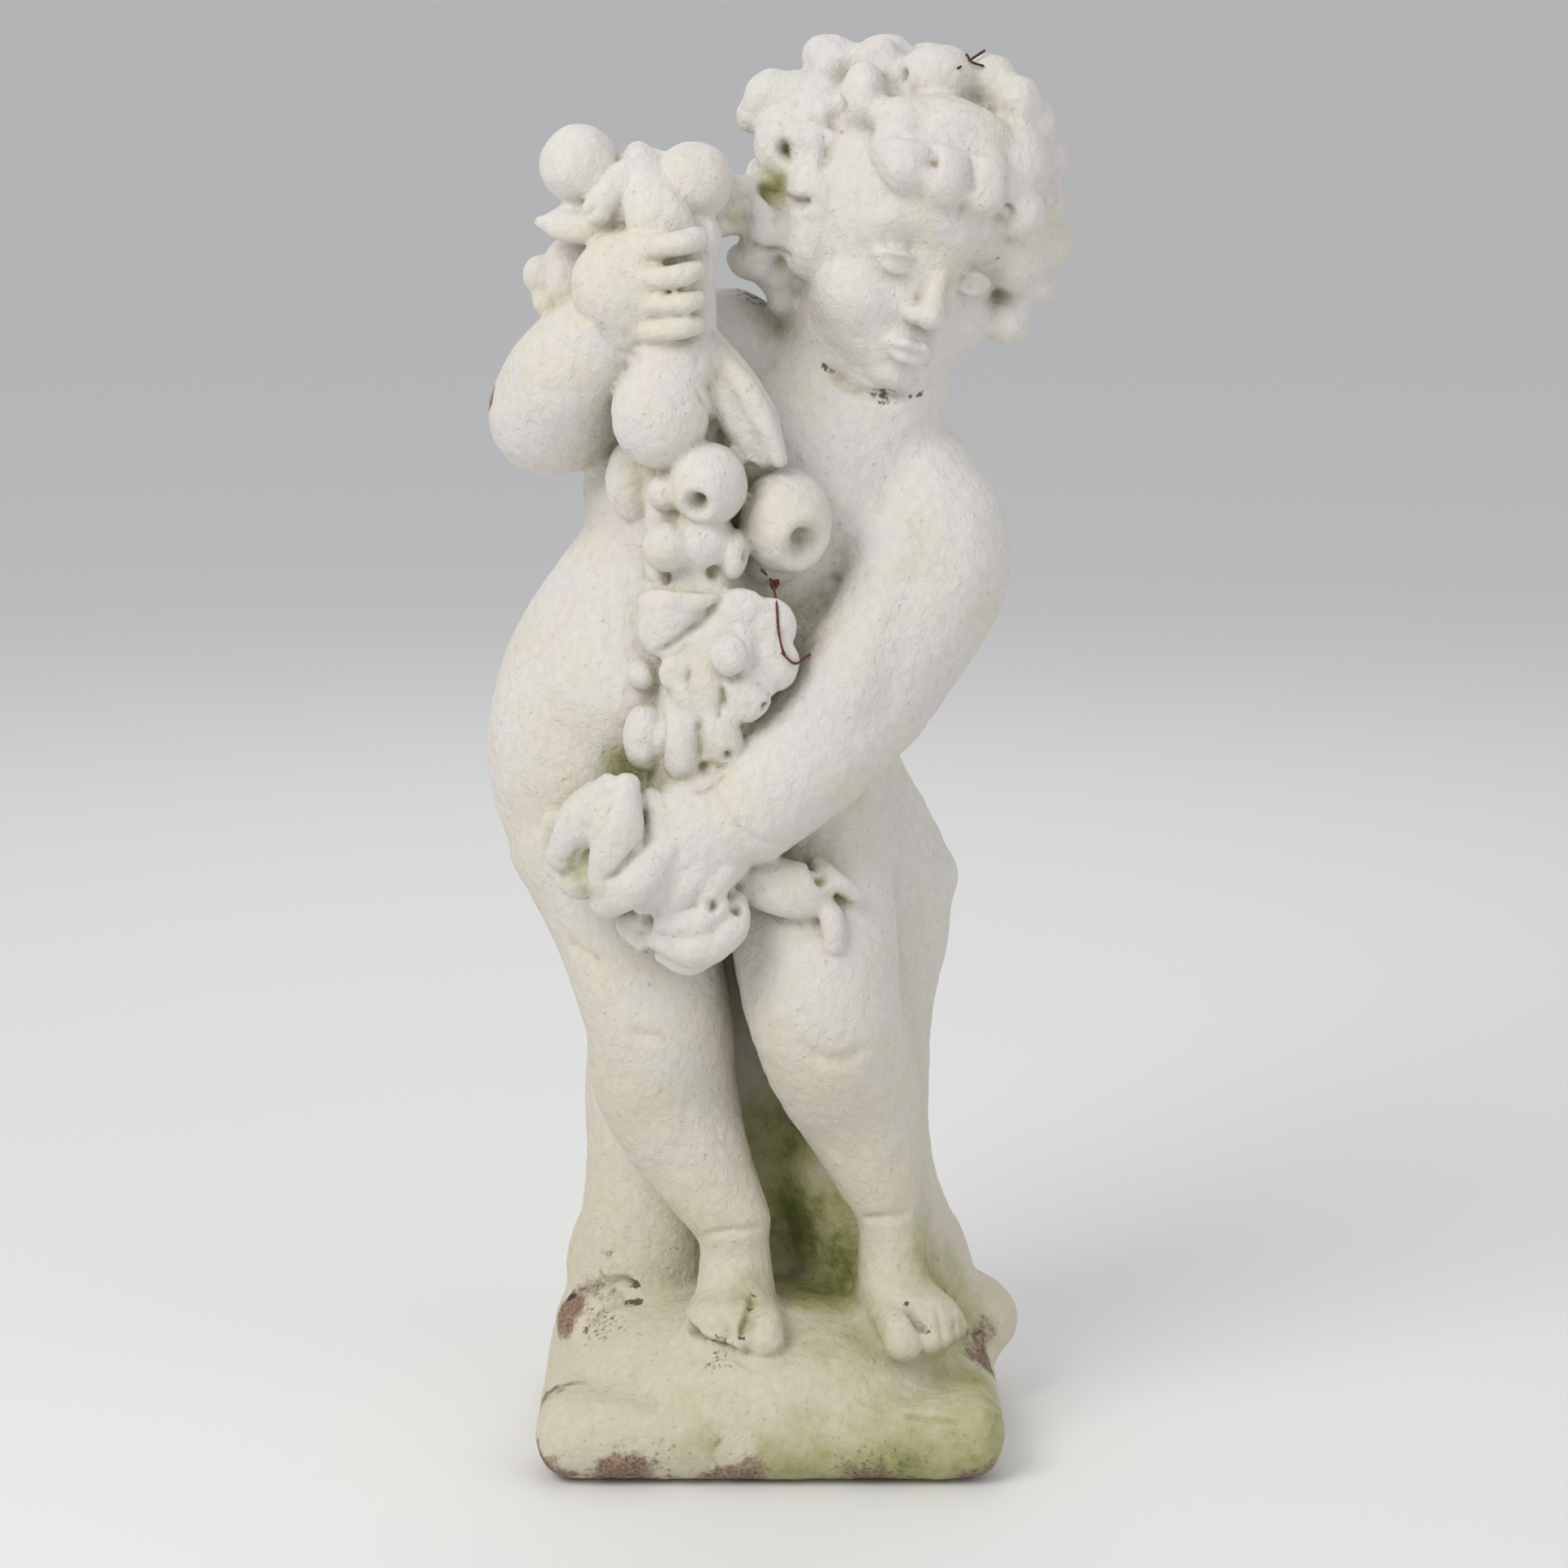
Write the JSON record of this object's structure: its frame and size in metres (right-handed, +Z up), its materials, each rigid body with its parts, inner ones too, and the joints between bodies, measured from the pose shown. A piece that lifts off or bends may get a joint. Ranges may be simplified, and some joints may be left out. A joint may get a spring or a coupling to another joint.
{
  "type": "garden statue",
  "caption": "Standing putto statue with a hanging garland of fruit, flowers and leaves, cast in one with the rock behind its legs and a rectangular base block.",
  "frame": {"origin": "middle of the base block's flat underside, on the ground", "axes": "+Z up; the child faces -Y; the arm that holds the garland up is towards -X"},
  "size_m": [0.3268, 0.2212, 0.8017],
  "materials": {
    "painted_cast_stone": "matt off-white masonry paint over pinkish-brown cast stone, with green algae and dark dirt in the hollows and on the base"
  },
  "bodies": {
    "root": {"putto_statue": "painted_cast_stone"}
  },
  "joints": []
}
